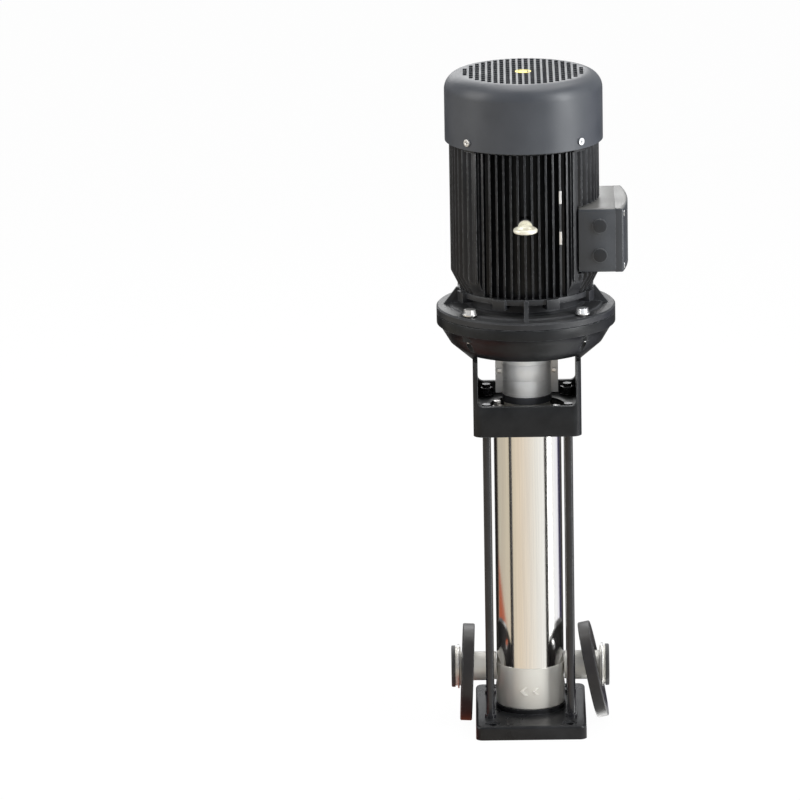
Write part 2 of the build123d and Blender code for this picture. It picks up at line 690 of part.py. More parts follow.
# ---- motor end shield with its mounting flange ------------------------------------------------------
with BuildPart() as flange_shield:
    turned([(0, motor_face), (motor_flange_r - 1.5, motor_face), (motor_flange_r, motor_face + 1.5),
            (motor_flange_r, flange_top - 2.5), (motor_flange_r - 2.5, flange_top),
            (motor_flange_r - 22, flange_top), (motor_flange_r - 24, flange_top + 2.5),
            (shield_neck_r + 4, flange_top + 2.5), (shield_neck_r, flange_top + 6),
            (shield_neck_r, shield_top - 13), (shield_r, shield_top - 9), (shield_r, shield_top),
            (0, shield_top)])
    disc(spigot_r, 0, motor_face - spigot_height, motor_face)
    disc(frame_bore_r - slip_fit, 0, shield_top, shield_top + 4)
    with BuildSketch(Plane.XY.offset(flange_top + 14)):
        with PolarLocations(shield_r - 4, 8, start_angle=22.5):
            Rectangle(20, 22)
    extrude(amount=shield_top - flange_top - 14)
    for angle in range(0, 360, 90):
        with BuildSketch(Plane.XZ.rotated((0, 0, angle))):
            with BuildLine():
                Polyline((shield_neck_r - 4, flange_top), (shield_r + rib_reach, flange_top),
                         (shield_r + 3, flange_top + rib_height), (shield_r - 4, flange_top + rib_height),
                         (shield_neck_r - 4, flange_top + rib_height / 2), close=True)
            make_face()
        extrude(amount=3.5, both=True)
    turned([(0, shield_top + 4), (frame_bore_r - 10, shield_top + 4), (frame_bore_r - 14, shield_top - 8),
            (bearing_r + 10, lower_bearing_z + bearing_width),
            (bearing_r + slip_fit, lower_bearing_z + bearing_width),
            (bearing_r + slip_fit, lower_bearing_z), (motor_shaft_r + 4, lower_bearing_z),
            (motor_shaft_r + 4, motor_face - spigot_height), (0, motor_face - spigot_height)],
           Mode.SUBTRACT)
    turned([(bearing_r + 9, motor_face - spigot_height), (spigot_r - 8, motor_face - spigot_height),
            (spigot_r - 12, motor_face + 3), (bearing_r + 12, motor_face + 3)], Mode.SUBTRACT)
    with BuildSketch(Plane.XY.offset(motor_face)):
        with PolarLocations(motor_bolt_r, 4, start_angle=45):
            Circle(motor_bolt_d / 2 + 1.25)
    extrude(amount=motor_flange_height + 6, mode=Mode.SUBTRACT)
save(flange_shield.part, "flange_shield")

with BuildPart() as flange_bolts:
    for bottom, top, radius, sides in (
            (stool_flange_bottom - 12, flange_top + 2.5, motor_bolt_d / 2, 0),
            (flange_top + 2.5, flange_top + 5, motor_bolt_d, 0),
            (flange_top + 5, flange_top + 12.5, motor_bolt_d * 0.86, 6)):
        with BuildSketch(Plane.XY.offset(bottom)):
            with PolarLocations(motor_bolt_r, 4, start_angle=45):
                if sides:
                    RegularPolygon(radius, sides)
                else:
                    Circle(radius)
        extrude(amount=top - bottom)
save(flange_bolts.part, "flange_bolts")

# ---- finned motor frame -----------------------------------------------------------------------------
with BuildPart() as motor_frame:
    with BuildSketch(Plane.XY.offset(shield_top)):
        for angle in range(0, 360, 90):
            with PolarLocations(0.001, 1, start_angle=angle):
                for fin in range(fin_count):
                    offset_y = (fin - (fin_count - 1) / 2) * fin_pitch
                    with Locations((fin_tip_r * 0.75, offset_y)):
                        Rectangle(fin_tip_r * 0.6, fin_wall)
        Circle(fin_tip_r, mode=Mode.INTERSECT)
        Circle(frame_root_r)
        with PolarLocations(frame_root_r + 8, 4, start_angle=45):
            Rectangle(26, 26)
        Circle(fin_tip_r, mode=Mode.INTERSECT)
        Circle(frame_bore_r, mode=Mode.SUBTRACT)
    extrude(amount=frame_top - shield_top)
    turned([(fin_tip_r + 1, shield_top - 1), (fin_tip_r + 1, shield_top + 30), (fin_tip_r, shield_top + 30),
            (shield_r - 2, shield_top + 2), (shield_r - 2, shield_top - 1)], Mode.SUBTRACT)
    with BuildSketch(Plane.YZ.offset(box_back - 2)):
        with Locations((0, box_mid)):
            Rectangle(box_depth + 6, box_top - box_bottom + 6)
    extrude(amount=fin_tip_r, mode=Mode.SUBTRACT)
    disc(frame_root_r, frame_bore_r, box_bottom - 4, box_top + 4)
    with BuildSketch(Plane.YZ.offset(frame_bore_r + 3)):
        with Locations((0, box_mid)):
            Rectangle(pad_width, pad_height)
    extrude(amount=pad_face - frame_bore_r - 3)
    with BuildSketch(Plane.YZ.offset(frame_bore_r - 4)):
        with Locations((0, box_mid)):
            Circle(16)
    extrude(amount=pad_face, mode=Mode.SUBTRACT)
    for side in (-1, 1):
        with BuildSketch(Plane.XZ.offset(-side * (frame_root_r - 3))):
            with Locations((0, eye_height)):
                Circle(13)
        extrude(amount=-side * (fin_tip_r - frame_root_r + 4))
        with BuildSketch(Plane.XZ.offset(-side * (frame_root_r - 2))):
            with Locations((0, eye_height)):
                Circle(5 + slip_fit)
        extrude(amount=-side * fin_tip_r, mode=Mode.SUBTRACT)
save(motor_frame.part, "motor_frame")

with BuildPart() as eyebolts:
    for side in (-1, 1):
        seat = fin_tip_r + 1
        for start, reach, radius in ((frame_root_r, seat - frame_root_r, 5.0), (seat, 5.0, 12.0),
                                     (seat + 5, 5.0, 7.5)):
            with BuildSketch(Plane.XZ.offset(-side * start)):
                with Locations((0, eye_height)):
                    Circle(radius)
            extrude(amount=-side * reach)
        ring_y = seat + 8 + eye_ring_r - eye_wire_r
        with BuildSketch(Plane.XZ.offset(-side * ring_y)):
            with Locations((eye_ring_r - eye_wire_r, eye_height)):
                Circle(eye_wire_r)
        revolve(axis=Axis((0, side * ring_y, eye_height), (0, 0, 1)))
save(eyebolts.part, "eyebolts")

# ---- stator, rotor, shaft and bearings --------------------------------------------------------------
with BuildPart() as stator_core:
    disc(frame_bore_r - 0.05, stator_bore_r, stator_bottom, stator_top)
    with BuildSketch(Plane.XY.offset(stator_bottom)):
        with PolarLocations(stator_bore_r + 9, 36):
            Rectangle(20, 3)
    extrude(amount=stator_top - stator_bottom, mode=Mode.SUBTRACT)
save(stator_core.part, "stator_core")

with BuildPart() as stator_windings:
    for bottom in (stator_bottom - winding_height, stator_top):
        disc(frame_bore_r - 12, stator_bore_r + 4, bottom, bottom + winding_height)
    fillet(stator_windings.edges(), 4)
save(stator_windings.part, "stator_windings")

with BuildPart() as rotor_core:
    disc(stator_bore_r - rotor_gap, motor_shaft_r + 0.05, stator_bottom, stator_top)
    for bottom in (stator_bottom - 8, stator_top):
        disc(stator_bore_r - rotor_gap - 4, motor_shaft_r + 6, bottom, bottom + 8)
save(rotor_core.part, "rotor_core")

with BuildPart() as motor_shaft:
    disc(shaft_end_r, 0, shaft_end, lower_bearing_z - 6)
    disc(motor_shaft_r, 0, lower_bearing_z - 6, upper_bearing_z + bearing_width + 2)
    disc(motor_shaft_r - 5, 0, upper_bearing_z + bearing_width + 2, shaft_top)
    chamfer(motor_shaft.edges().group_by(Axis.Z)[0], 1.5)
    chamfer(motor_shaft.edges().group_by(Axis.Z)[-1], 1)
save(motor_shaft.part, "motor_shaft")

for name, bottom in (("bearing_lower", lower_bearing_z), ("bearing_upper", upper_bearing_z)):
    race = 6.0
    ball_r = (bearing_r - motor_shaft_r - 2 * race) / 2 - 0.05
    track_r = (bearing_r + motor_shaft_r) / 2
    with BuildPart() as bearing:
        disc(bearing_r, bearing_r - race, bottom, bottom + bearing_width)
        disc(motor_shaft_r + race, motor_shaft_r + run_fit, bottom, bottom + bearing_width)
        with Locations((0, 0, bottom + bearing_width / 2)):
            with PolarLocations(track_r, 9):
                Sphere(ball_r)
    save(bearing.part, name)

with BuildPart() as rear_shield:
    disc(fin_tip_r - 4, 0, frame_top, frame_top + rear_shield_height)
    with BuildSketch(Plane.XY.offset(frame_top)):
        with PolarLocations(fin_tip_r - 8, 4, start_angle=45):
            Rectangle(2 * (cowl_r - cowl_wall - slip_fit - fin_tip_r + 8), 24)
        Circle(cowl_r - cowl_wall - slip_fit, mode=Mode.INTERSECT)
    extrude(amount=cowl_bottom + 2 * cowl_screw_height - frame_top)
    disc(frame_bore_r - slip_fit, 0, frame_top - 5, frame_top)
    disc(bearing_r + 8, 0, frame_top - 8, upper_bearing_z + bearing_width + 4)
    disc(frame_bore_r - 10, bearing_r + 8, frame_top - 6, frame_top, Mode.SUBTRACT)
    disc(bearing_r + slip_fit, 0, upper_bearing_z, upper_bearing_z + bearing_width, Mode.SUBTRACT)
    disc(motor_shaft_r + 1, 0, frame_top - 10, frame_top + 40, Mode.SUBTRACT)
    for angle in range(45, 360, 90):
        with BuildSketch(Plane.YZ.rotated((0, 0, angle)).offset(cowl_r - 26)):
            with Locations((0, cowl_bottom + cowl_screw_height)):
                Circle(cowl_screw_d / 2 + slip_fit)
        extrude(amount=30, mode=Mode.SUBTRACT)
save(rear_shield.part, "rear_shield")

# ---- fan and slotted cowl ---------------------------------------------------------------------------
with BuildPart() as cooling_fan:
    disc(motor_shaft_r + 6, 0, fan_bottom, fan_bottom + fan_height - 4)
    disc(fan_r * 0.62, 0, fan_bottom, fan_bottom + 3)
    with BuildSketch(Plane.XY.offset(fan_bottom)):
        with PolarLocations((fan_r + motor_shaft_r) / 2 + 1, fan_blades):
            Rectangle(fan_r - motor_shaft_r - 4, 2.5)
    extrude(amount=fan_height)
    disc(motor_shaft_r - 5 + 0.05, 0, fan_bottom, fan_bottom + fan_height, Mode.SUBTRACT)
save(cooling_fan.part, "cooling_fan")

with BuildPart() as cowl_space:
    disc(cowl_r - cowl_wall, 0, cowl_bottom - 1, cowl_top - cowl_wall)
    fillet(cowl_space.faces().sort_by(Axis.Z)[-1].edges(), cowl_shoulder - cowl_wall)

with BuildPart() as fan_cowl:
    disc(cowl_r, 0, cowl_bottom, cowl_top)
    fillet(fan_cowl.faces().sort_by(Axis.Z)[-1].edges(), cowl_shoulder)
    add(cowl_space.part, mode=Mode.SUBTRACT)
    with BuildSketch(Plane.XY.offset(cowl_top - cowl_wall - 1)):
        for column in range(slot_columns):
            slot_x = (column - (slot_columns - 1) / 2) * slot_pitch
            reach = math.sqrt(grille_r ** 2 - (abs(slot_x) + slot_width / 2) ** 2)
            rows = max(1, round(2 * reach / slot_row_pitch))
            row_length = 2 * reach / rows
            for row in range(rows):
                with Locations((slot_x, (row - (rows - 1) / 2) * row_length)):
                    Rectangle(slot_width, row_length - slot_bar)
    extrude(amount=cowl_wall + 2, mode=Mode.SUBTRACT)
    for angle in range(45, 360, 90):
        with BuildSketch(Plane.YZ.rotated((0, 0, angle)).offset(cowl_r - 8)):
            with Locations((0, cowl_bottom + cowl_screw_height)):
                Circle(cowl_screw_d / 2 + slip_fit)
        extrude(amount=10, mode=Mode.SUBTRACT)
save(fan_cowl.part, "fan_cowl")

with BuildPart() as cowl_screws:
    for angle in range(45, 360, 90):
        for start, reach, radius in ((cowl_r - 20, 20.2, cowl_screw_d / 2), (cowl_r + 0.2, 3.2, cowl_screw_d)):
            with BuildSketch(Plane.YZ.rotated((0, 0, angle)).offset(start)):
                with Locations((0, cowl_bottom + cowl_screw_height)):
                    Circle(radius)
                    if radius > cowl_screw_d / 2:
                        Rectangle(radius * 1.5, 1.2, mode=Mode.SUBTRACT)
                        Rectangle(1.2, radius * 1.5, mode=Mode.SUBTRACT)
            extrude(amount=reach)
save(cowl_screws.part, "cowl_screws")

# ---- terminal box -----------------------------------------------------------------------------------
box_height = box_top - box_bottom
with BuildPart() as terminal_box:
    with BuildSketch(Plane.YZ.offset(box_back)):
        with Locations((0, box_mid)):
            RectangleRounded(box_depth, box_height, 6)
    extrude(amount=box_seam - box_back)
    with BuildSketch(Plane.YZ.offset(pad_face + 5)):
        with Locations((0, box_mid)):
            RectangleRounded(box_depth - 2 * box_wall, box_height - 2 * box_wall, 4)
    extrude(amount=box_seam - pad_face, mode=Mode.SUBTRACT)
    disc(frame_root_r + 1.5, 0, box_bottom - 1, box_top + 1, Mode.SUBTRACT)
    with BuildSketch(Plane.YZ.offset(box_back - 5)):
        with Locations((0, box_mid)):
            Rectangle(pad_width + 0.4, pad_height + 0.4)
    extrude(amount=pad_face - box_back + 5, mode=Mode.SUBTRACT)
    with BuildSketch(Plane.YZ.offset(pad_face - 1)):
        with Locations((0, box_mid)):
            Circle(16)
    extrude(amount=8, mode=Mode.SUBTRACT)
    for side in (-1, 1):
        with BuildSketch(Plane.XZ.offset(-side * (box_depth / 2 - 1))):
            for rise in (-entry_rise, entry_rise):
                with Locations((entry_x, box_mid + rise)):
                    Circle(entry_d / 2 + 3.5)
        extrude(amount=-side * 3.5)
        with BuildSketch(Plane.XZ.offset(-side * (box_depth / 2 - box_wall - 2))):
            for rise in (-entry_rise, entry_rise):
                with Locations((entry_x, box_mid + rise)):
                    Circle(entry_d / 2)
        extrude(amount=-side * 12, mode=Mode.SUBTRACT)
    with BuildSketch(Plane.YZ.offset(box_seam - 14)):
        with Locations((0, box_mid)):
            with GridLocations(box_depth - 20, box_height - 20, 2, 2):
                Rectangle(13, 13)
    extrude(amount=14)
    with BuildSketch(Plane.YZ.offset(box_seam - 12)):
        with Locations((0, box_mid)):
            with GridLocations(box_depth - 20, box_height - 20, 2, 2):
                Circle(2.5 + slip_fit)
    extrude(amount=12, mode=Mode.SUBTRACT)
save(terminal_box.part, "terminal_box")

with BuildPart() as terminal_lid:
    with BuildSketch(Plane.XY.offset(box_bottom)):
        with BuildLine():
            lid_end = box_front - lid_bulge
            Polyline((lid_end, -box_depth / 2), (box_seam, -box_depth / 2), (box_seam, box_depth / 2),
                     (lid_end, box_depth / 2))
            ThreePointArc((lid_end, box_depth / 2), (box_front, 0), (lid_end, -box_depth / 2))
        make_face()
    extrude(amount=box_height)
    outer_edges = terminal_lid.edges().filter_by(lambda edge: edge.center().X > box_seam + 5)
    fillet(outer_edges, 4)
    with BuildSketch(Plane.YZ.offset(box_seam)):
        with Locations((0, box_mid)):
            RectangleRounded(box_depth - 30, box_height - 8, 4)
    extrude(amount=lid_end - box_seam - 3, mode=Mode.SUBTRACT)
    with BuildSketch(Plane.YZ.offset(box_seam)):
        with Locations((0, box_mid)):
            with GridLocations(box_depth - 20, box_height - 20, 2, 2):
                Circle(2.5 + slip_fit)
    extrude(amount=30, mode=Mode.SUBTRACT)
    with BuildSketch(Plane.YZ.offset(lid_end - 2)):
        with Locations((0, box_mid)):
            with GridLocations(box_depth - 20, box_height - 20, 2, 2):
                Circle(6)
    extrude(amount=20, mode=Mode.SUBTRACT)
save(terminal_lid.part, "terminal_lid")

with BuildPart() as lid_screws:
    for start, reach, radius in ((box_seam - 10, lid_end - 2 - box_seam + 10, 2.5), (lid_end - 2, 4.0, 4.6)):
        with BuildSketch(Plane.YZ.offset(start)):
            with Locations((0, box_mid)):
                with GridLocations(box_depth - 20, box_height - 20, 2, 2):
                    Circle(radius)
                    if radius > 3:
                        Rectangle(7, 1.2, mode=Mode.SUBTRACT)
        extrude(amount=reach)
save(lid_screws.part, "lid_screws")

with BuildPart() as terminal_block:
    block_face = pad_face + 5
    with BuildSketch(Plane.YZ.offset(block_face)):
        with Locations((0, box_mid)):
            Rectangle(74, 46)
    extrude(amount=14)
    with BuildSketch(Plane.YZ.offset(block_face + 14)):
        with Locations((0, box_mid)):
            with GridLocations(22, 24, 3, 2):
                Circle(2.5)
    extrude(amount=12)
save(terminal_block.part, "terminal_block")

with BuildPart() as entry_plugs:
    for side in (-1, 1):
        for start, reach, radius in ((box_depth / 2 - box_wall, box_wall + 2.5, entry_d / 2 - slip_fit),
                                     (box_depth / 2 + 2.5, 2.0, entry_d / 2 + 2.5)):
            with BuildSketch(Plane.XZ.offset(-side * start)):
                for rise in (-entry_rise, entry_rise):
                    with Locations((entry_x, box_mid + rise)):
                        Circle(radius)
            extrude(amount=-side * reach)
save(entry_plugs.part, "entry_plugs")
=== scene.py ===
import bpy
import math
import numpy as np
from mathutils import Matrix, Vector


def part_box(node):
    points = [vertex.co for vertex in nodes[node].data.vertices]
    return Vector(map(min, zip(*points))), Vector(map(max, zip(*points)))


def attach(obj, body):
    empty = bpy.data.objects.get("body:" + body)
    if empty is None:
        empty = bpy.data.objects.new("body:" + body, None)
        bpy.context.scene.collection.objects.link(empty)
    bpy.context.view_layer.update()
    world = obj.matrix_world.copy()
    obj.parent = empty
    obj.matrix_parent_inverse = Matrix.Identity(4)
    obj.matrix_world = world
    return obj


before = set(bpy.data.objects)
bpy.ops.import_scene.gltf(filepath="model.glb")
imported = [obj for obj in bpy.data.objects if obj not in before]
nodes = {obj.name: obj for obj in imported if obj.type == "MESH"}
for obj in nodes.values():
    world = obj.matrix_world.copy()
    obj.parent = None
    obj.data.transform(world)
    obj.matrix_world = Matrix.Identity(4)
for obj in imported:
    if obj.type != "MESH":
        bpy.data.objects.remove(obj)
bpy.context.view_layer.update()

# ---- base plate ---------------------------------------------------------------------------------
# The foot is a heavy iron casting with rounded edges, coated in satin black paint.
# Its surface keeps the fine pebbled texture of the sand mould under the paint.


def feed(tree, socket, value):
    """Links value to the socket where it is another node's output, and otherwise sets it there."""
    if isinstance(value, bpy.types.NodeSocket):
        tree.links.new(value, socket)
    else:
        socket.default_value = value


def calculate(tree, operation, *values):
    """A Math node; the values are outputs or numbers, in the order that the operation takes them."""
    node = tree.nodes.new("ShaderNodeMath")
    node.operation = operation
    for socket, value in zip(node.inputs, values):
        feed(tree, socket, value)
    return node.outputs[0]


def mix_colour(tree, factor, first, second):
    """A Mix node in colour mode: first where factor is 0, second where it is 1."""
    node = tree.nodes.new("ShaderNodeMix")
    node.data_type = "RGBA"
    for socket, value in ((node.inputs[0], factor), (node.inputs[6], first), (node.inputs[7], second)):
        feed(tree, socket, value)
    return node.outputs[2]


def spread(tree, value, span, to=(0.0, 1.0)):
    """A Map Range node from span to another pair of ends, clamped; ends are outputs or numbers."""
    node = tree.nodes.new("ShaderNodeMapRange")
    tree.links.new(value, node.inputs["Value"])
    for label, end in zip(("From Min", "From Max", "To Min", "To Max"), (*span, *to)):
        feed(tree, node.inputs[label], end)
    return node.outputs["Result"]


# Nearly all of a noise pattern's values lie in this span.
CLOUD_SPAN = (0.3, 0.7)


def noise(tree, scale, detail=4.0, stretch=(1, 1, 1)):
    """Noise on Object coordinates in metres; stretch multiplies each axis before the noise."""
    place = tree.nodes.new("ShaderNodeTexCoord")
    scaled = tree.nodes.new("ShaderNodeMapping")
    scaled.inputs["Scale"].default_value = stretch
    cloud = tree.nodes.new("ShaderNodeTexNoise")
    cloud.inputs["Detail"].default_value = detail
    feed(tree, cloud.inputs["Scale"], scale)
    tree.links.new(place.outputs["Object"], scaled.inputs["Vector"])
    tree.links.new(scaled.outputs["Vector"], cloud.inputs["Vector"])
    return cloud.outputs["Fac"]


def bump(tree, height, strength, distance):
    """The normal of a surface raised by the height pattern, up to distance in metres."""
    node = tree.nodes.new("ShaderNodeBump")
    node.inputs["Distance"].default_value = distance
    feed(tree, node.inputs["Strength"], strength)
    tree.links.new(height, node.inputs["Height"])
    return node.outputs["Normal"]


def new_group(name, inputs, outputs):
    """An empty shader node group with the named sockets: (name, kind, default) in, (name, kind) out."""
    group = bpy.data.node_groups.new(name, "ShaderNodeTree")
    for label, kind, default in inputs:
        socket = group.interface.new_socket(name=label, in_out="INPUT", socket_type=kind)
        socket.default_value = default
    for label, kind in outputs:
        group.interface.new_socket(name=label, in_out="OUTPUT", socket_type=kind)
    return group, group.nodes.new("NodeGroupInput"), group.nodes.new("NodeGroupOutput")


def cast_skin():
    """Painted casting: cloudy colour, dust and painted sheen on upward faces, rubbed edges, pebbled bump.
    """
    pale_cloud = (0.3, 0.3, 0.31, 1)
    settled_dust = (0.30, 0.29, 0.27, 1)
    bare_iron = (0.24, 0.25, 0.26, 1)
    rim_width, pebble_height = 0.0012, 0.0003
    group, given, out = new_group(
        "cast skin",
        [("Colour", "NodeSocketColor", (0.03, 0.03, 0.03, 1)), ("Dust", "NodeSocketFloat", 0.1),
         ("Grain Scale", "NodeSocketFloat", 900.0), ("Grain Depth", "NodeSocketFloat", 0.3),
         ("Roughness", "NodeSocketFloat", 0.45), ("Edge Rub", "NodeSocketFloat", 0.5)],
        [("Colour", "NodeSocketColor"), ("Roughness", "NodeSocketFloat"), ("Normal", "NodeSocketVector")],
    )
    # Broad clouds make the paint a little paler and duller in places.
    tone = spread(group, noise(group, scale=22.0, detail=5.0), CLOUD_SPAN)
    lighter = mix_colour(group, 0.03, given.outputs["Colour"], pale_cloud)
    body = mix_colour(group, tone, given.outputs["Colour"], lighter)
    dulled = calculate(group, "MULTIPLY_ADD", tone, 0.12, given.outputs["Roughness"])
    # Upward faces turn paler: settled dust, and where the amount is large, a painted sheen from above.
    shape = group.nodes.new("ShaderNodeNewGeometry")
    split = group.nodes.new("ShaderNodeSeparateXYZ")
    group.links.new(shape.outputs["Normal"], split.inputs[0])
    up = spread(group, split.outputs["Z"], (0.6, 1.0), to=(0.0, given.outputs["Dust"]))
    dusty = mix_colour(group, up, body, settled_dust)
    # An edge is where the rounded normal leans away from the true one; scratches break the rub up.
    rim = group.nodes.new("ShaderNodeBevel")
    rim.samples = 4
    rim.inputs["Radius"].default_value = rim_width
    lean = group.nodes.new("ShaderNodeVectorMath")
    lean.operation = "DOT_PRODUCT"
    group.links.new(rim.outputs["Normal"], lean.inputs[0])
    group.links.new(shape.outputs["Normal"], lean.inputs[1])
    worn = spread(group, lean.outputs["Value"], (0.97, 0.8), to=(0.0, given.outputs["Edge Rub"]))
    scratch = spread(group, noise(group, scale=160.0, detail=3.0), (0.38, 0.6), to=(0.15, 1.0))
    rubbed = mix_colour(group, calculate(group, "MULTIPLY", worn, scratch), dusty, bare_iron)
    pebbles = noise(group, given.outputs["Grain Scale"], detail=2.0)
    grain = bump(group, pebbles, given.outputs["Grain Depth"], pebble_height)
    for label, value in (("Colour", rubbed), ("Roughness", dulled), ("Normal", grain)):
        group.links.new(value, out.inputs[label])
    return group


CAST_SKIN = cast_skin()


def new_material(name, metallic):
    """A new material, with its node tree and its Principled shader."""
    material = bpy.data.materials.new(name)
    material.use_nodes = True
    shader = material.node_tree.nodes["Principled BSDF"]
    shader.inputs["Metallic"].default_value = metallic
    return material, material.node_tree, shader


def painted(name, colour, dust, grain_scale, grain_depth, roughness, rub, metallic=0.0, gloss=0.3):
    """A material fed by the cast skin group; gloss is the specular level."""
    material, tree, shader = new_material(name, metallic)
    shader.inputs["Specular IOR Level"].default_value = gloss
    skin = tree.nodes.new("ShaderNodeGroup")
    skin.node_tree = CAST_SKIN
    values = {"Colour": (*colour, 1), "Dust": dust, "Grain Scale": grain_scale,
              "Grain Depth": grain_depth, "Roughness": roughness, "Edge Rub": rub}
    for label, value in values.items():
        skin.inputs[label].default_value = value
    for label, fed in (("Colour", "Base Color"), ("Roughness", "Roughness"), ("Normal", "Normal")):
        tree.links.new(skin.outputs[label], shader.inputs[fed])
    return material


def dress(names, material):
    """Gives each named CAD node this material in all its slots."""
    for name in names:
        piece = nodes[name]
        if not piece.material_slots:
            piece.data.materials.append(material)
        for place in piece.material_slots:
            place.link = "OBJECT"
            place.material = material


def smoothing_group():
    """Geometry nodes that shade faces smooth, and keep an edge sharp where it turns sharply."""
    sharp_from = math.radians(32)
    group = bpy.data.node_groups.new("smooth shading", "GeometryNodeTree")
    group.interface.new_socket(name="Geometry", in_out="INPUT", socket_type="NodeSocketGeometry")
    group.interface.new_socket(name="Geometry", in_out="OUTPUT", socket_type="NodeSocketGeometry")
    given, out = group.nodes.new("NodeGroupInput"), group.nodes.new("NodeGroupOutput")
    faces = group.nodes.new("GeometryNodeSetShadeSmooth")
    edges = group.nodes.new("GeometryNodeSetShadeSmooth")
    edges.domain = "EDGE"
    edges.inputs["Shade Smooth"].default_value = False
    turn = group.nodes.new("GeometryNodeInputMeshEdgeAngle")
    sharp = group.nodes.new("FunctionNodeCompare")
    sharp.operation = "GREATER_THAN"
    sharp.inputs[1].default_value = sharp_from
    group.links.new(turn.outputs["Unsigned Angle"], sharp.inputs[0])
    group.links.new(sharp.outputs[0], edges.inputs["Selection"])
    group.links.new(given.outputs[0], faces.inputs["Geometry"])
    group.links.new(faces.outputs[0], edges.inputs["Geometry"])
    group.links.new(edges.outputs[0], out.inputs[0])
    return group


SMOOTHING = smoothing_group()


def soften(names, width):
    """Welds loose corners, rounds sharp edges by width in metres (0 for none) and smooths curves."""
    loose_gap, rounded_from = 0.00001, math.radians(50)
    for name in names:
        piece = nodes[name]
        weld = piece.modifiers.new("weld", "WELD")
        weld.merge_threshold = loose_gap
        if width > 0:
            bevel = piece.modifiers.new("edges", "BEVEL")
            bevel.width = width
            bevel.segments = 2
            bevel.limit_method = "ANGLE"
            bevel.angle_limit = rounded_from
        smooth = piece.modifiers.new("smooth", "NODES")
        smooth.node_group = SMOOTHING


cast_black = painted("cast_black", (0.006, 0.0062, 0.007), dust=0.01, grain_scale=700.0,
                     grain_depth=0.30, roughness=0.24, rub=0.6, gloss=0.25)
dress(["base_plate"], cast_black)
soften(["base_plate"], 0)

# ---- motor stool --------------------------------------------------------------------------------
# The stool is one iron casting that joins pump and motor: a box below, two side walls and a bowl.
# It has the same satin black paint as the foot, a little greyer where light dust has settled.
stool_paint = painted("stool_black", (0.006, 0.0066, 0.0075), dust=0.04, grain_scale=650.0,
                      grain_depth=0.5, roughness=0.30, rub=0.6, gloss=0.2)
dress(["motor_stool"], stool_paint)
soften(["motor_stool"], 0.0012)

# ---- base casting and pump head -----------------------------------------------------------------
# The wet end is investment-cast stainless steel, shot-blasted to an even pale satin.
# Faint warm clouds show where the casting was pickled.


def blasted_steel(name, colour, roughness, speckle, metallic=0.85):
    """Satin metal: fine speckled bump, cloudy roughness and faint warm stains."""
    warm_stain = (0.62, 0.55, 0.47, 1)
    duller_by, brighter_by, grain_height = 0.08, 0.06, 0.0002
    material, tree, shader = new_material(name, metallic)
    stained = spread(tree, noise(tree, scale=14.0), (0.4, 0.7), to=(0.0, 0.35))
    base = mix_colour(tree, stained, (*colour, 1), warm_stain)
    clouds = spread(tree, noise(tree, scale=60.0), CLOUD_SPAN,
                    to=(roughness - brighter_by, roughness + duller_by))
    grain = bump(tree, noise(tree, scale=1500.0, detail=2.0), speckle, grain_height)
    for label, value in (("Base Color", base), ("Roughness", clouds), ("Normal", grain)):
        tree.links.new(value, shader.inputs[label])
    return material


cast_steel = blasted_steel("cast_stainless", (0.68, 0.665, 0.62), roughness=0.42, speckle=0.4,
                           metallic=0.4)
dress(["base_casting", "pump_head"], cast_steel)
soften(["base_casting", "pump_head"], 0)

# ---- outer sleeve -------------------------------------------------------------------------------
# The column is a polished stainless tube, bright enough to mirror the room in tall stripes.
# A very fine lengthwise draw line from the tube mill breaks up the mirror.
bright, less_bright = (0.93, 0.92, 0.90, 1), (0.86, 0.85, 0.84, 1)
draw_depth = 0.0001
sleeve_steel, tree, shader = new_material("sleeve_steel", metallic=1.0)
draw_lines = noise(tree, scale=420.0, detail=3.0, stretch=(1, 1, 0.015))
drawn = mix_colour(tree, spread(tree, draw_lines, CLOUD_SPAN), bright, less_bright)
tree.links.new(drawn, shader.inputs["Base Color"])
tree.links.new(spread(tree, draw_lines, CLOUD_SPAN, to=(0.12, 0.17)), shader.inputs["Roughness"])
tree.links.new(bump(tree, draw_lines, strength=0.05, distance=draw_depth), shader.inputs["Normal"])
dress(["outer_sleeve"], sleeve_steel)
soften(["outer_sleeve"], 0)

# ---- stay bolts ---------------------------------------------------------------------------------
# Four long steel rods with nuts and washers clamp stool and foot together.
# They are dark and slightly oily.
rod_steel = painted("rod_steel", (0.008, 0.008, 0.010), dust=0.0, grain_scale=500.0,
                    grain_depth=0.05, roughness=0.12, rub=0.1, gloss=0.5)
dress(["stay_bolts", "stay_nuts", "stay_washers"], rod_steel)
soften(["stay_bolts"], 0)
soften(["stay_nuts", "stay_washers"], 0.0006)

# ---- port flanges -------------------------------------------------------------------------------
# The loose flanges are forged iron rings, turned and coated black.
# They hang on the port necks, a little askew, until pipes are bolted to them.
flange_paint = painted("flange_black", (0.012, 0.0105, 0.0105), dust=0.10, grain_scale=380.0,
                       grain_depth=0.3, roughness=0.30, rub=0.8)
dress(["port_flange_left", "port_flange_right"], flange_paint)
soften(["port_flange_left", "port_flange_right"], 0.0008)

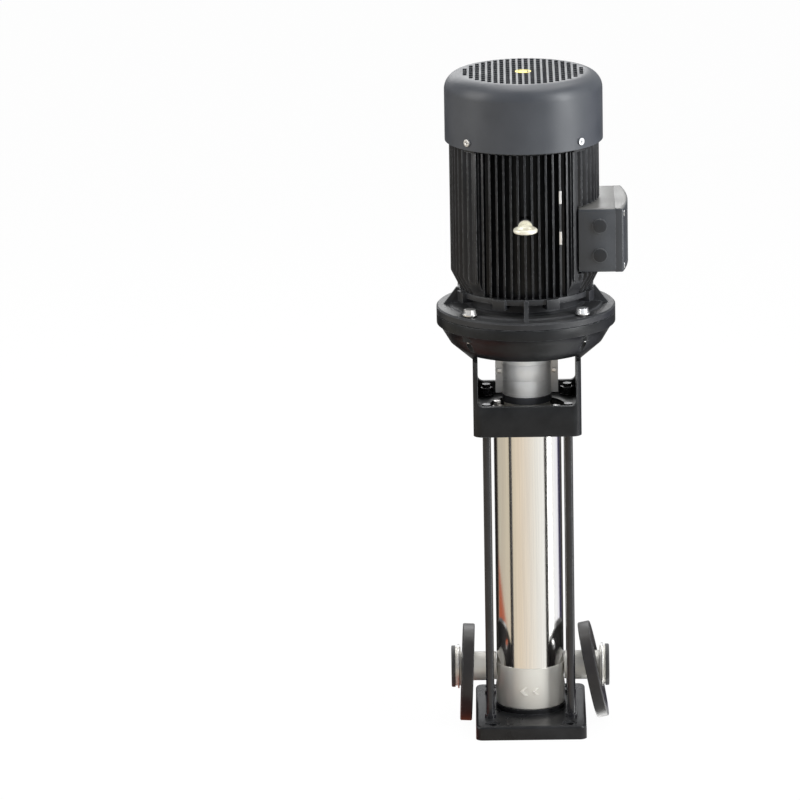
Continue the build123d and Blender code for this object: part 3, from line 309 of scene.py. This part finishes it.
# ---- port caps and rings ------------------------------------------------------------------------
# Moulded caps keep the ports clean in transport; a sprung steel ring behind each holds the flange.
# The plugs and all the wetted parts inside the sleeve are stainless steel.
cap_plastic = painted("cap_plastic", (0.035, 0.034, 0.034), dust=0.03, grain_scale=260.0,
                      grain_depth=0.1, roughness=0.4, rub=0.1)
dress(["port_cap_left", "port_cap_right"], cap_plastic)
soften(["port_cap_left", "port_cap_right"], 0)
stainless = blasted_steel("stainless_parts", (0.66, 0.66, 0.65), roughness=0.3, speckle=0.1)
dress([name for name in nodes if name.startswith("impeller_")], stainless)
dress(["lock_rings", "drain_plug", "vent_plug", "fill_plug", "vent_screw", "inlet_guide", "chambers",
       "top_guide", "stack_straps", "pump_shaft"], stainless)
soften(["lock_rings", "drain_plug", "vent_plug", "fill_plug", "vent_screw"], 0.0004)

# ---- coupling guards ----------------------------------------------------------------------------
# Two half shells of bright rolled stainless sheet close round the coupling.
# They are beaded round and screwed along their wings.
guard_steel = blasted_steel("guard_steel", (0.95, 0.945, 0.93), roughness=0.34, speckle=0.04,
                            metallic=0.12)
dress(["guard_front", "guard_rear"], guard_steel)
soften(["guard_front", "guard_rear"], 0)

# ---- shaft seal and coupling --------------------------------------------------------------------
# The seal cover is a dark coated ring; the clamped coupling halves are machined iron.
# Rubber rings seal the sleeve at its two ends.
seal_coat = painted("seal_black", (0.06, 0.062, 0.068), dust=0.1, grain_scale=400.0,
                    grain_depth=0.15, roughness=0.35, rub=0.4)
dress(["seal_cover", "seal_seat", "seal_ring"], seal_coat)
soften(["seal_cover"], 0)
coupling_iron = painted("coupling_iron", (0.22, 0.22, 0.22), dust=0.0, grain_scale=300.0,
                        grain_depth=0.1, roughness=0.35, rub=0.4, metallic=0.8)
dress(["coupling_half_front", "coupling_half_rear"], coupling_iron)
rubber = painted("rubber_rings", (0.02, 0.02, 0.02), dust=0.0, grain_scale=300.0,
                 grain_depth=0.1, roughness=0.7, rub=0.0)
dress(["sleeve_rings"], rubber)

# ---- motor frame and end shields ----------------------------------------------------------------
# The motor's housing is die-cast aluminium with parallel cooling fins, painted deep satin black.
# Paint is thin on the fins' tips, so they catch the light as fine pale lines.
motor_paint = painted("motor_black", (0.0065, 0.007, 0.0085), dust=0.05, grain_scale=520.0,
                      grain_depth=0.25, roughness=0.34, rub=0.8)
dress(["motor_frame", "rear_shield"], motor_paint)
soften(["motor_frame"], 0.0005)
soften(["rear_shield"], 0.0008)
shield_paint = painted("shield_black", (0.012, 0.013, 0.0155), dust=0.06, grain_scale=620.0,
                       grain_depth=0.5, roughness=0.34, rub=0.7, gloss=0.4)
dress(["flange_shield"], shield_paint)
soften(["flange_shield"], 0.0010)

# ---- fan cowl -----------------------------------------------------------------------------------
# The cowl is deep-drawn sheet steel in smooth dark grey enamel, a shade paler than the castings.
# Its top is slotted for the fan's air, and screws hold it to the motor's rear shield.
cowl_paint = painted("cowl_grey", (0.037, 0.041, 0.049), dust=0.05, grain_scale=900.0,
                     grain_depth=0.12, roughness=0.38, rub=0.25, gloss=0.45)
dress(["fan_cowl"], cowl_paint)
soften(["fan_cowl"], 0)

# ---- terminal box -------------------------------------------------------------------------------
# The terminal box and its bulged lid are cast aluminium in the motor's black.
# Their top faces are painted pale, for dust and a painted sheen; plastic plugs close the cable entries.
# The large dust amount here is partly dust and partly a painted sheen of light on the top faces.
box_paint = painted("box_black", (0.028, 0.031, 0.036), dust=0.5, grain_scale=560.0,
                    grain_depth=0.3, roughness=0.36, rub=0.6, gloss=0.5)
dress(["terminal_box", "terminal_lid"], box_paint)
soften(["terminal_box", "terminal_lid"], 0.0012)
plug_plastic = painted("plug_plastic", (0.012, 0.013, 0.015), dust=0.03, grain_scale=300.0,
                       grain_depth=0.15, roughness=0.36, rub=0.4)
dress(["entry_plugs"], plug_plastic)
soften(["entry_plugs"], 0.0006)
block_plastic = painted("block_plastic", (0.30, 0.10, 0.04), dust=0.0, grain_scale=300.0,
                        grain_depth=0.1, roughness=0.5, rub=0.0)
dress(["terminal_block"], block_plastic)

# ---- fasteners and lifting eyes -----------------------------------------------------------------
# Screws and flange bolts are zinc plated.
# The two lifting eyes are forged and zinc plated, passivated to a cream colour.
zinc = blasted_steel("bright_fasteners", (0.72, 0.73, 0.74), roughness=0.3, speckle=0.1)
dress(["flange_bolts", "guard_screws", "cowl_screws", "lid_screws", "seal_screws", "coupling_screws",
       "coupling_pin"], zinc)
soften(["flange_bolts", "guard_screws", "cowl_screws", "lid_screws"], 0.0005)
eye_zinc = painted("eye_zinc", (0.78, 0.75, 0.62), dust=0.0, grain_scale=240.0,
                   grain_depth=0.3, roughness=0.35, rub=0.2, metallic=0.35)
dress(["eyebolts"], eye_zinc)
soften(["eyebolts"], 0)

# ---- fan, stator, rotor and bearings ------------------------------------------------------------
# Inside the motor are a moulded fan, laminated steel cores, varnished windings and ball bearings.
# They show only through the cowl's slots, or when a piece is taken off.
fan_plastic = painted("fan_plastic", (0.02, 0.02, 0.021), dust=0.0, grain_scale=200.0,
                      grain_depth=0.1, roughness=0.5, rub=0.1)
dress(["cooling_fan"], fan_plastic)
core_steel = blasted_steel("core_steel", (0.42, 0.42, 0.44), roughness=0.35, speckle=0.1)
dress(["stator_core", "rotor_core", "motor_shaft", "bearing_lower", "bearing_upper"], core_steel)
copper = blasted_steel("winding_copper", (0.60, 0.28, 0.12), roughness=0.4, speckle=0.6)
dress(["stator_windings"], copper)

# ---- label on the cowl --------------------------------------------------------------------------
# A small round plastic sticker on the cowl's top shows the direction of rotation.
# It is printed with a plain curved arrow.


def keep_mesh(name, points, faces, material, body):
    """Makes an object of these points and faces in the frame, with this material, and ties it to its
    body.
    """
    mesh = bpy.data.meshes.new(name)
    mesh.from_pydata([tuple(point) for point in points], [], [tuple(face) for face in faces])
    mesh.materials.append(material)
    mesh.update()
    piece = bpy.data.objects.new(name, mesh)
    bpy.context.scene.collection.objects.link(piece)
    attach(piece, body)
    return piece


def turned_disc(centre, rings, steps=64):
    """A lathe form about Z: each ring is (radius, height above centre), and flat faces close both ends.

    A point is centre + (radius cos angle, radius sin angle, height).
    """
    radius, height = (column[:, None] for column in np.array(rings).T)
    angle = np.linspace(0, 2 * math.pi, steps, endpoint=False)
    x = centre[0] + radius * np.cos(angle)
    y = centre[1] + radius * np.sin(angle)
    z = np.broadcast_to(centre[2] + height, x.shape)
    points = np.stack([x, y, z], axis=2).reshape(-1, 3)
    step = np.arange(steps)
    after = (step + 1) % steps
    low = steps * np.arange(len(rings) - 1)[:, None]
    high = low + steps
    sides = np.stack([low + step, low + after, high + after, high + step], axis=2).reshape(-1, 4)
    lid = (len(rings) - 1) * steps + step
    return points, sides.tolist() + [step[::-1].tolist(), lid.tolist()]


def curved_arrow(reach, height, steps=24):
    """A flat arrow: a band between two arcs, each radius times (cos angle, sin angle), and a tip."""
    angle = np.linspace(math.radians(200), math.radians(-20), steps + 1)
    along = np.stack([np.cos(angle), np.sin(angle)], 1)
    tip = reach * np.array([(0.38, -0.18), (0.84, -0.24), (0.50, -0.62)])
    flat = np.concatenate([0.52 * reach * along, 0.70 * reach * along, tip])
    outer, last = steps + 1, 2 * (steps + 1)
    faces = [(k, k + 1, outer + k + 1, outer + k) for k in range(steps)]
    faces.append((last, last + 2, last + 1))
    return np.concatenate([flat, np.full((len(flat), 1), height)], 1), faces


cowl_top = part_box("fan_cowl")[1][2]
label_r, label_height, label_sunk, rim = 0.0135, 0.0002, 0.0003, 0.0002
ink_height = 0.00025
label_yellow = painted("label_yellow", (0.80, 0.66, 0.16), dust=0.0, grain_scale=200.0,
                       grain_depth=0.05, roughness=0.4, rub=0.0)
label_ink = painted("label_ink", (0.05, 0.05, 0.05), dust=0.0, grain_scale=200.0,
                    grain_depth=0.0, roughness=0.5, rub=0.0)
label_rings = ((label_r, -label_sunk), (label_r, label_height / 2), (label_r - rim, label_height))
points, faces = turned_disc((0.0, 0.0, cowl_top), label_rings)
keep_mesh("rotation_label", points, faces, label_yellow, "pump")
points, faces = curved_arrow(label_r, cowl_top + ink_height)
keep_mesh("rotation_arrow", points, faces, label_ink, "pump")

# ---- flow marks on the base casting -------------------------------------------------------------
# Two small raised chevrons, cast on the front of the base, point the way the liquid flows.
# Their steel is paler than the casting's, a painted highlight on the raised faces.


def raised_mark(name, outline, centre_x, centre_z, wall_r, height, sunk, material):
    """Wraps a closed flat outline round the front of the casting's wall and raises it by height.

    A point keeps its x and z, and its y is -sqrt(radius^2 - x^2): on the wall's radius less sunk for
    the back face, and on that radius plus height for the front one.
    """
    count = len(outline)
    x, z = centre_x + outline[:, 0], centre_z + outline[:, 1]
    low, high = (np.stack([x, -np.sqrt(radius ** 2 - x ** 2), z], 1)
                 for radius in (wall_r - sunk, wall_r + height))
    faces = [(k, (k + 1) % count, count + (k + 1) % count, count + k) for k in range(count)]
    faces += [tuple(range(count, 2 * count)), tuple(range(count))[::-1]]
    return keep_mesh(name, np.concatenate([low, high]), faces, material, "pump")


casting_low, casting_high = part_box("base_casting")
wall_r = (casting_high[1] - casting_low[1]) / 2
mark_z = (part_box("base_plate")[1][2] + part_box("outer_sleeve")[0][2]) / 2
mark_size, mark_height, mark_sunk = 0.0072, 0.0016, 0.0004
chevron = mark_size * np.array([(-1, 0), (0.15, -1), (0.75, -1), (-0.4, 0), (0.75, 1), (0.15, 1)])
# The paler colour of the marks is a painted highlight.
mark_steel = blasted_steel("mark_steel", (0.88, 0.87, 0.84), roughness=0.3, speckle=0.1,
                           metallic=0.5)
for name, mark_x, share in (("flow_mark_1", -0.011, 1.0), ("flow_mark_2", 0.009, 0.75)):
    raised_mark(name, share * chevron, mark_x, mark_z, wall_r, mark_height, mark_sunk, mark_steel)

# ---- nameplate clips on the fins ----------------------------------------------------------------
# Two bare aluminium clips sit on the tip of one front fin, where a rating plate can be fixed.
# Each is a small block with rounded edges, pressed over the fin.
fin_tip_r, fin_pitch, fin_wall = 0.125, 0.0117, 0.003
clip_fin = 5
clip_heights = (0.934, 0.865)
fin_x = clip_fin * fin_pitch
fin_y = -math.sqrt(fin_tip_r ** 2 - (fin_x + fin_wall / 2) ** 2)
clip_half = np.array([0.0021, 0.0016, 0.011])
clip_aluminium = blasted_steel("clip_aluminium", (0.85, 0.86, 0.87), roughness=0.4, speckle=0.2)
corners = np.array([(x, y, z) for x in (-1, 1) for y in (-1, 1) for z in (-1, 1)])
faces = [(0, 1, 3, 2), (4, 6, 7, 5), (0, 4, 5, 1), (2, 3, 7, 6), (0, 2, 6, 4), (1, 5, 7, 3)]
for number, clip_z in enumerate(clip_heights, 1):
    points = corners * clip_half + np.array([fin_x, fin_y, clip_z])
    clip = keep_mesh(f"plate_clip_{number}", points, faces, clip_aluminium, "pump")
    edge = clip.modifiers.new("edges", "BEVEL")
    edge.width = 0.0005
    edge.segments = 2

# ---- floor --------------------------------------------------------------------------------------
# A plain pale floor that runs far behind the pump; it keeps the pump's soft shadow.
# Polished metal mirrors it as a room: warm cream on the left, white on the right, dark at the back.


def share_of_turn(compass):
    """A compass angle in degrees, from -180 to 180, as a share of the full turn."""
    return (compass + 180) / 360


def place_on_floor(tree):
    """Share of the turn, by atan2 of the place turned a quarter, and distance from the upright axis."""
    place = tree.nodes.new("ShaderNodeTexCoord")
    quarter = tree.nodes.new("ShaderNodeMapping")
    quarter.inputs["Rotation"].default_value = (0, 0, math.radians(90))
    around = tree.nodes.new("ShaderNodeTexGradient")
    around.gradient_type = "RADIAL"
    away = tree.nodes.new("ShaderNodeVectorMath")
    away.operation = "LENGTH"
    tree.links.new(place.outputs["Object"], quarter.inputs["Vector"])
    tree.links.new(quarter.outputs["Vector"], around.inputs["Vector"])
    tree.links.new(place.outputs["Object"], away.inputs[0])
    return around.outputs["Fac"], away.outputs["Value"]


def colour_by_compass(tree, turn, stops):
    """A colour ramp over the share of the turn; each stop is a compass angle and a colour."""
    ramp = tree.nodes.new("ShaderNodeValToRGB")
    tree.links.new(turn, ramp.inputs["Fac"])
    while len(ramp.color_ramp.elements) < len(stops):
        ramp.color_ramp.elements.new(0.5)
    for element, (compass, colour) in zip(ramp.color_ramp.elements, stops):
        element.position = share_of_turn(compass)
        element.color = (*colour, 1)
    return ramp.outputs["Color"]


def glow(tree, colour, strength):
    """An Emission shader; colour and strength are outputs or values."""
    node = tree.nodes.new("ShaderNodeEmission")
    feed(tree, node.inputs["Color"], colour)
    feed(tree, node.inputs["Strength"], strength)
    return node.outputs[0]


def blend(tree, factor, first, second):
    """A Mix Shader: first where factor is 0, second where it is 1."""
    node = tree.nodes.new("ShaderNodeMixShader")
    for socket, value in zip(node.inputs, (factor, first, second)):
        tree.links.new(value, socket)
    return node.outputs[0]


floor_reach = 40.0
floor_white = (0.90, 0.90, 0.90, 1)
# The eye sees mostly a plain white glow; the small rest of what it sees keeps the pump's shadow.
seen_white, seen_share = (1, 1, 1, 1), 0.97
# Each stop is a compass angle from the front (0) to the right (+) or left (-), and a colour.
room_stops = [
    (-180, (0.50, 0.49, 0.47)), (-166, (0.50, 0.49, 0.47)), (-157, (0.020, 0.019, 0.018)),
    (-136, (0.010, 0.008, 0.007)), (-128, (0.06, 0.05, 0.04)), (-123, (0.55, 0.51, 0.41)),
    (-100, (0.56, 0.50, 0.40)), (-60, (0.68, 0.60, 0.46)), (-30, (0.78, 0.67, 0.53)),
    (0, (0.82, 0.75, 0.65)), (30, (0.88, 0.86, 0.80)), (62, (0.99, 0.99, 0.96)),
    (104, (0.98, 0.98, 1.0)), (118, (0.92, 0.91, 1.0)), (123, (0.03, 0.025, 0.07)),
    (134, (0.03, 0.025, 0.06)), (142, (0.09, 0.085, 0.085)), (150, (0.03, 0.027, 0.026)),
    (157, (0.03, 0.027, 0.026)), (166, (0.50, 0.49, 0.47)), (180, (0.50, 0.49, 0.47)),
]
# A warm red patch lies at the left. Going round, it fades in over its start, in shares of the turn;
# going out, it ends where share of the turn + lean * distance crosses its edge.
patch_red = (0.42, 0.10, 0.05, 1)
patch_start, patch_lean, patch_edge = (0.144, 0.160), 0.282, (0.452, 0.440)
# A tall window at the right, at this share of the turn, is brighter than the wall round it.
window_at, window_half, window_strength = 0.712, 0.016, 5.0

floor_mesh = bpy.data.meshes.new("floor")
floor_corners = [(-floor_reach, -floor_reach, 0), (floor_reach, -floor_reach, 0),
                 (floor_reach, floor_reach, 0), (-floor_reach, floor_reach, 0)]
floor_mesh.from_pydata(floor_corners, [], [(0, 1, 2, 3)])
floor = bpy.data.objects.new("floor", floor_mesh)
bpy.context.scene.collection.objects.link(floor)
floor_material, tree, shader = new_material("floor_white", metallic=0.0)
shader.inputs["Base Color"].default_value = floor_white
shader.inputs["Roughness"].default_value = 0.9
turn, distance = place_on_floor(tree)
slanted = calculate(tree, "MULTIPLY_ADD", distance, patch_lean, turn)
patch = calculate(tree, "MULTIPLY", spread(tree, slanted, patch_edge), spread(tree, turn, patch_start))
room = mix_colour(tree, patch, colour_by_compass(tree, turn, room_stops), patch_red)
in_window = calculate(tree, "COMPARE", turn, window_at, window_half)
mirrored = glow(tree, room, spread(tree, in_window, (0.0, 1.0), to=(1.0, window_strength)))
ray = tree.nodes.new("ShaderNodeLightPath").outputs
bare = blend(tree, ray["Is Glossy Ray"], shader.outputs[0], mirrored)
seen = calculate(tree, "MULTIPLY", ray["Is Camera Ray"], seen_share)
tree.links.new(blend(tree, seen, bare, glow(tree, seen_white, 1.0)),
               tree.nodes["Material Output"].inputs["Surface"])
floor_mesh.materials.append(floor_material)

# ---- room light ---------------------------------------------------------------------------------
# The room is white to the eye, and upward faces mirror a pale haze above the horizon.
# What falls on the pump itself is a soft even light with lamps round it.


def backdrop(tree, colour, strength):
    """A Background shader of one colour and strength."""
    node = tree.nodes.new("ShaderNodeBackground")
    node.inputs["Color"].default_value = (*colour, 1)
    node.inputs["Strength"].default_value = strength
    return node.outputs[0]


world = bpy.data.worlds.new("studio")
bpy.context.scene.world = world
world.use_nodes = True
tree = world.node_tree
tree.nodes.clear()
haze = backdrop(tree, (0.95, 0.97, 1.0), 0.55)
soft_light = backdrop(tree, (0.96, 0.98, 1.0), 0.5)
plain_white = backdrop(tree, (1, 1, 1), 1.0)
ray = tree.nodes.new("ShaderNodeLightPath").outputs
unseen = blend(tree, ray["Is Glossy Ray"], soft_light, haze)
out = tree.nodes.new("ShaderNodeOutputWorld")
tree.links.new(blend(tree, ray["Is Camera Ray"], unseen, plain_white), out.inputs["Surface"])


def softbox(name, place, width, height, power, colour, aim=(0, 0, 0.6)):
    """A rectangular area lamp at place, turned to face aim, in metres and watts."""
    lamp = bpy.data.lights.new(name, "AREA")
    lamp.shape = "RECTANGLE"
    lamp.size = width
    lamp.size_y = height
    lamp.energy = power
    lamp.color = colour
    holder = bpy.data.objects.new(name, lamp)
    holder.location = place
    holder.rotation_euler = (Vector(aim) - Vector(place)).to_track_quat("-Z", "Y").to_euler()
    bpy.context.scene.collection.objects.link(holder)


softbox("left", (-2.6, -0.7, 2.0), width=1.0, height=2.2, power=50, colour=(1.0, 0.98, 0.95))
softbox("key_right", (2.3, -1.3, 1.6), width=1.0, height=2.4, power=95, colour=(0.97, 0.99, 1.0))
softbox("top", (0.2, 0.6, 3.2), width=2.0, height=2.0, power=50, colour=(1, 1, 1))
softbox("back", (-0.6, 2.8, 2.2), width=2.0, height=1.6, power=30, colour=(1, 1, 1))

# ---- camera -------------------------------------------------------------------------------------
# A long lens looks slightly down from the front, and leaves the pump right of the centre.
azimuth, elevation, roll = math.radians(0.821), math.radians(14.585), -0.01724
target, distance = Vector((-0.2138, 0, 0.5630)), 11.532
back = Vector((math.sin(azimuth) * math.cos(elevation), -math.cos(azimuth) * math.cos(elevation),
               math.sin(elevation)))
camera_data = bpy.data.cameras.new("camera")
camera_data.lens = 308.2
camera_data.sensor_width = 36
camera_data.clip_end = 200
camera = bpy.data.objects.new("camera", camera_data)
facing = (-back).to_track_quat("-Z", "Y").to_matrix().to_4x4()
placed = Matrix.Translation(target + distance * back)
camera.matrix_world = placed @ facing @ Matrix.Rotation(roll, 4, "Z")
bpy.context.scene.collection.objects.link(camera)
bpy.context.scene.camera = camera
bpy.context.scene.view_settings.view_transform = "Standard"
